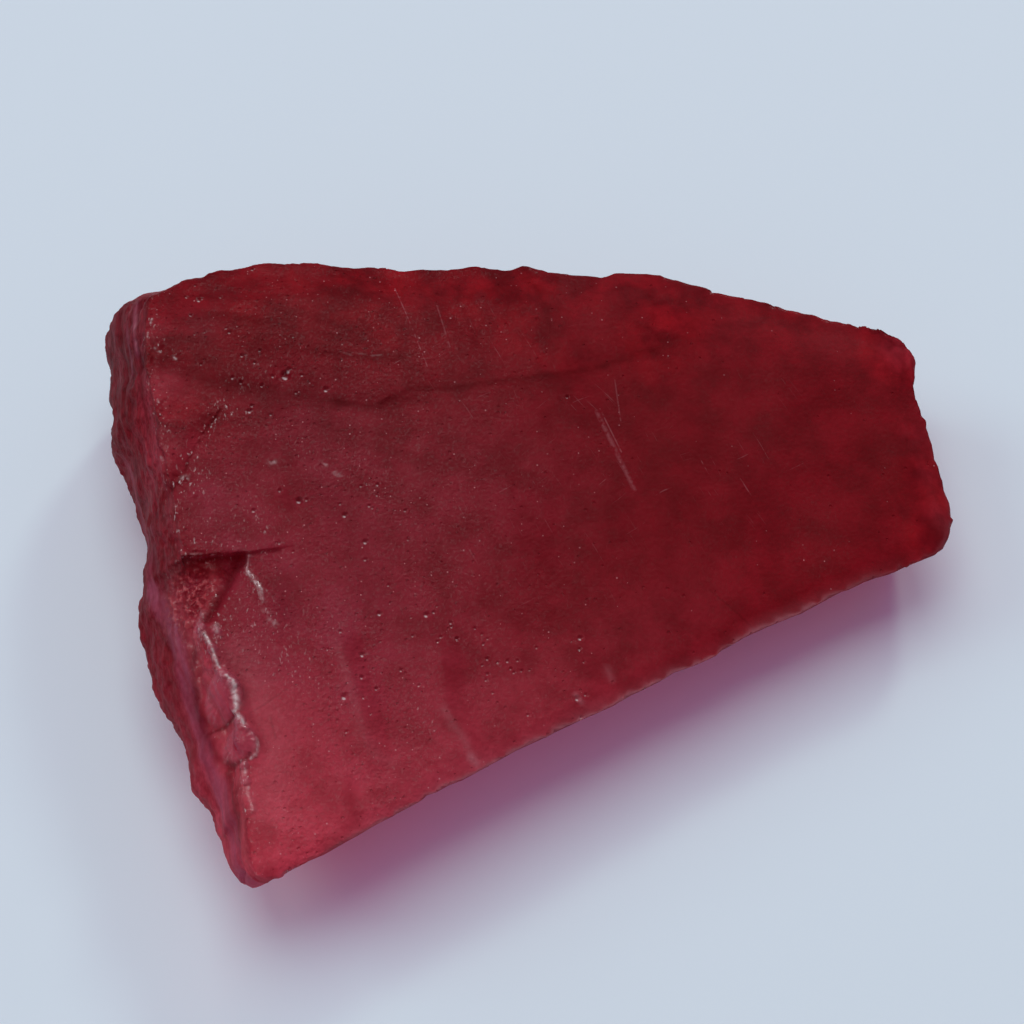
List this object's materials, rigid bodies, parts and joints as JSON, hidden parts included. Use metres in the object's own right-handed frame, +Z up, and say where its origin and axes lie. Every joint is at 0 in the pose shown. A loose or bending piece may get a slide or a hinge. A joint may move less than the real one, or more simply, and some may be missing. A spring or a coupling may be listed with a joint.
{
  "type": "rough ruby",
  "caption": "Rough slab of deep red ruby with a broad worn face, a broken left side and an undercut front, lying on a flat foot.",
  "frame": {"origin": "bottom middle of the stone's box, on the surface it rests on", "axes": "+X along the stone's longest side, from the broken end to the narrow end; +Y to the back; +Z up through the thickness"},
  "size_m": [0.0506, 0.0402, 0.012],
  "materials": {
    "ruby": "satin"
  },
  "bodies": {
    "root": {"rough_ruby": "ruby"}
  },
  "joints": []
}
